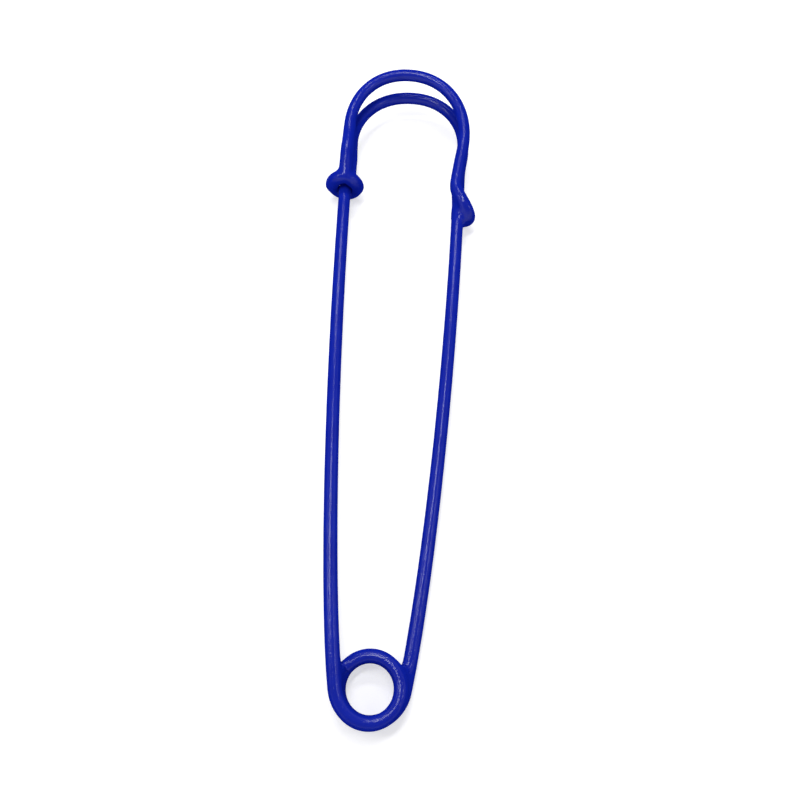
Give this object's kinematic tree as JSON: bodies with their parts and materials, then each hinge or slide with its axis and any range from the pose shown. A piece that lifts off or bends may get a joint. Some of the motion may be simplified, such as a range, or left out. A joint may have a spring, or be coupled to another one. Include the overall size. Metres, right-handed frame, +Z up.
{
  "type": "safety pin",
  "caption": "Large safety pin of the stitch-holder kind, bent from enamelled spring wire: spring coil, needle arm held in a catch eye, and a double arched head with a wrapped tail",
  "frame": {"origin": "the middle of the bounding box's foot, on the table that the pin lies on", "axes": "+Y runs from the spring coil to the arched head, +Z points up from the table and -X is the needle arm's side"},
  "size_m": [0.0314, 0.1302, 0.0119],
  "materials": {
    "enamel": "gloss",
    "steel": "drawn wire"
  },
  "bodies": {
    "frame": {"spring_coil_coat": "enamel", "spring_coil_core": "steel", "back_arm_coat": "enamel", "back_arm_core": "steel", "rear_arch_coat": "enamel", "rear_arch_core": "steel", "catch_eye_coat": "enamel", "catch_eye_core": "steel", "front_arch_coat": "enamel", "front_arch_core": "steel", "tail_wrap_coat": "enamel", "tail_wrap_core": "steel"},
    "needle_root": {"needle_root_coat": "enamel", "needle_root_core": "steel", "needle_lower_flex_coat": "enamel", "needle_lower_flex_core": "steel"},
    "needle_lower": {"needle_lower_shaft_coat": "enamel", "needle_lower_shaft_core": "steel", "needle_middle_flex_coat": "enamel", "needle_middle_flex_core": "steel"},
    "needle_upper": {"needle_upper_shaft_coat": "enamel", "needle_upper_shaft_core": "steel", "needle_upper_flex_coat": "enamel", "needle_upper_flex_core": "steel"},
    "needle_end": {"needle_end_coat": "enamel", "needle_end_core": "steel", "needle_point_coat": "enamel", "needle_point_core": "steel"}
  },
  "joints": [
    {"name": "arm_swing", "type": "hinge", "parent": "frame", "child": "needle_root", "pos_m": [0.00026, -0.05881, 0.0032], "axis": [0, 0, 1], "range_deg": [0, 25], "stiffness_Nm_per_rad": 1.5, "deforming": ["spring_coil_coat", "spring_coil_core"]},
    {"name": "bow_lower", "type": "hinge", "parent": "needle_root", "child": "needle_lower", "pos_m": [-0.00684, -0.04798, 0.00518], "axis": [0, 0, 1], "range_deg": [0, 22], "deforming": ["needle_lower_flex_coat", "needle_lower_flex_core"]},
    {"name": "bow_middle", "type": "hinge", "parent": "needle_lower", "child": "needle_upper", "pos_m": [-0.00993, -0.01011, 0.00451], "axis": [0, 0, -1], "range_deg": [0, 44], "stiffness_Nm_per_rad": 3.5, "deforming": ["needle_middle_flex_coat", "needle_middle_flex_core"]},
    {"name": "bow_upper", "type": "hinge", "parent": "needle_upper", "child": "needle_end", "pos_m": [-0.01155, 0.02785, 0.00385], "axis": [0, 0, 1], "range_deg": [0, 22], "deforming": ["needle_upper_flex_coat", "needle_upper_flex_core"]}
  ],
  "couplings": [
    {"joint": "bow_lower", "follows": "bow_middle", "ratio": 0.5},
    {"joint": "bow_upper", "follows": "bow_middle", "ratio": 0.5}
  ]
}
